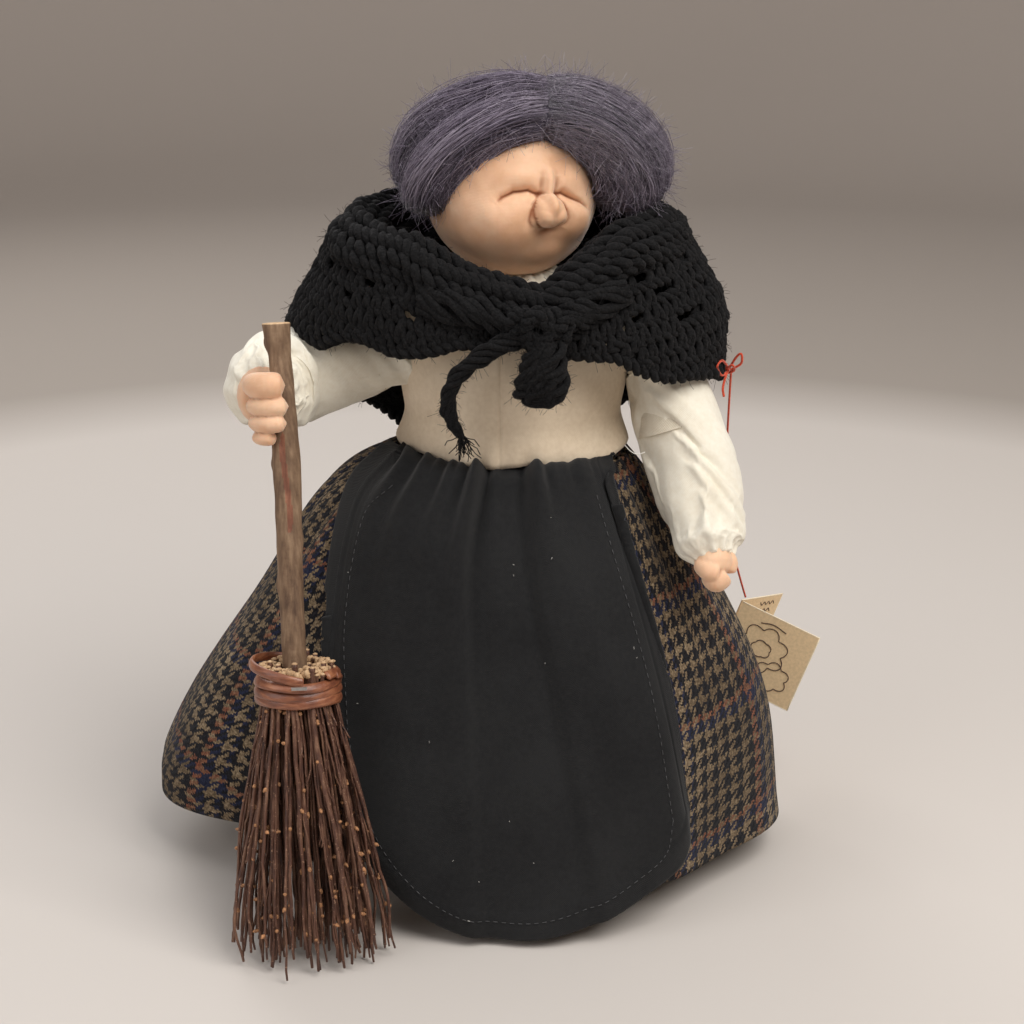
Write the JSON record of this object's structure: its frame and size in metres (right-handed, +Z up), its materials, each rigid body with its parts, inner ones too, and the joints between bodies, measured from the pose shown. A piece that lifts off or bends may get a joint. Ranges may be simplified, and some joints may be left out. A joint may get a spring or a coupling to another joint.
{
  "type": "cloth witch doll",
  "caption": "Standing cloth witch doll in a tweed skirt, apron and crocheted shawl, with posable wire-armature arms and a removable twig broom.",
  "frame": {"origin": "centre of the base's underside, on the surface that the doll stands on", "axes": "+Z up, -Y the way the doll faces, +X to the doll's left"},
  "size_m": [0.3564, 0.2459, 0.3995],
  "materials": {
    "wood": "sanded, unvarnished",
    "felt": "dense felt",
    "steel": "bare wire",
    "calico": "stuffed calico",
    "net": "stiffened net",
    "tweed": "brushed wool houndstooth",
    "muslin": "matt woven cotton",
    "linen": "matt woven linen",
    "crochet": "fuzzy bulky yarn",
    "skin": "stretched nylon knit",
    "hair": "combed wool",
    "bark": "bark, cut end",
    "twig": "bark",
    "reed": "split reed, slightly glossy",
    "thread": "twisted cotton",
    "card": "uncoated paper card"
  },
  "bodies": {
    "figure": {"base_disc": "wood", "base_felt": "felt", "base_screw": "steel", "body_post": "wood", "hip_form": "calico", "petticoat": "net", "skirt": "tweed", "skirt_waistband": "tweed", "torso_form": "calico", "shoulder_wire": "steel", "blouse_bodice": "muslin", "neck_form": "skin", "blouse_collar": "muslin", "apron": "linen", "shawl": "crochet"},
    "head": {"head_skin": "skin", "head_stuffing": "calico", "hair_right_lock": "hair", "hair_left_lock": "hair"},
    "right_upper_arm": {"right_upper_sleeve": "muslin", "right_upper_stuffing": "calico", "right_upper_wire": "steel"},
    "right_forearm": {"right_forearm_sleeve": "muslin", "right_forearm_stuffing": "calico", "right_forearm_wire": "steel", "right_hand": "skin"},
    "left_upper_arm": {"left_upper_sleeve": "muslin", "left_upper_stuffing": "calico", "left_upper_wire": "steel"},
    "left_forearm": {"left_forearm_sleeve": "muslin", "left_forearm_stuffing": "calico", "left_forearm_wire": "steel", "left_hand": "skin"},
    "broom": {"broom_handle": "bark", "broom_twigs": "twig", "broom_binding": "reed", "broom_staple": "steel"},
    "tag": {"tag_thread": "thread", "tag_back_leaf": "card"},
    "tag_leaf": {"tag_front_leaf": "card"}
  },
  "joints": [
    {"name": "head_turn", "type": "hinge", "parent": "figure", "child": "head", "pos_m": [0, 0, 0.32], "axis": [0, 0, 1], "range_deg": [-30, 30]},
    {"name": "right_shoulder", "type": "hinge", "parent": "figure", "child": "right_upper_arm", "pos_m": [-0.06, -0.008, 0.262], "axis": [0, 1, 0], "range_deg": [0, 10]},
    {"name": "right_elbow", "type": "hinge", "parent": "right_upper_arm", "child": "right_forearm", "pos_m": [-0.108, -0.008, 0.255], "axis": [0, 0, 1], "range_deg": [-30, 0]},
    {"name": "broom_slide", "type": "slide", "parent": "right_forearm", "child": "broom", "axis": [-0.0388, 0.1863, 0.9817], "range_m": [0, 0.08]},
    {"name": "left_shoulder", "type": "hinge", "parent": "figure", "child": "left_upper_arm", "pos_m": [0.07, -0.008, 0.266], "axis": [-1, 0, 0], "range_deg": [0, 30]},
    {"name": "left_elbow", "type": "hinge", "parent": "left_upper_arm", "child": "left_forearm", "pos_m": [0.085, -0.022, 0.218], "axis": [-1, 0, 0], "range_deg": [0, 55]},
    {"name": "tag_swing", "type": "hinge", "parent": "figure", "child": "tag", "pos_m": [0.1065, -0.006, 0.257], "axis": [0, -1, 0], "range_deg": [0, 20]},
    {"name": "tag_fold", "type": "hinge", "parent": "tag", "child": "tag_leaf", "pos_m": [0.11, 0.06, 0.067], "axis": [0.342, 0, 0.9397], "range_deg": [-12, 64]}
  ]
}
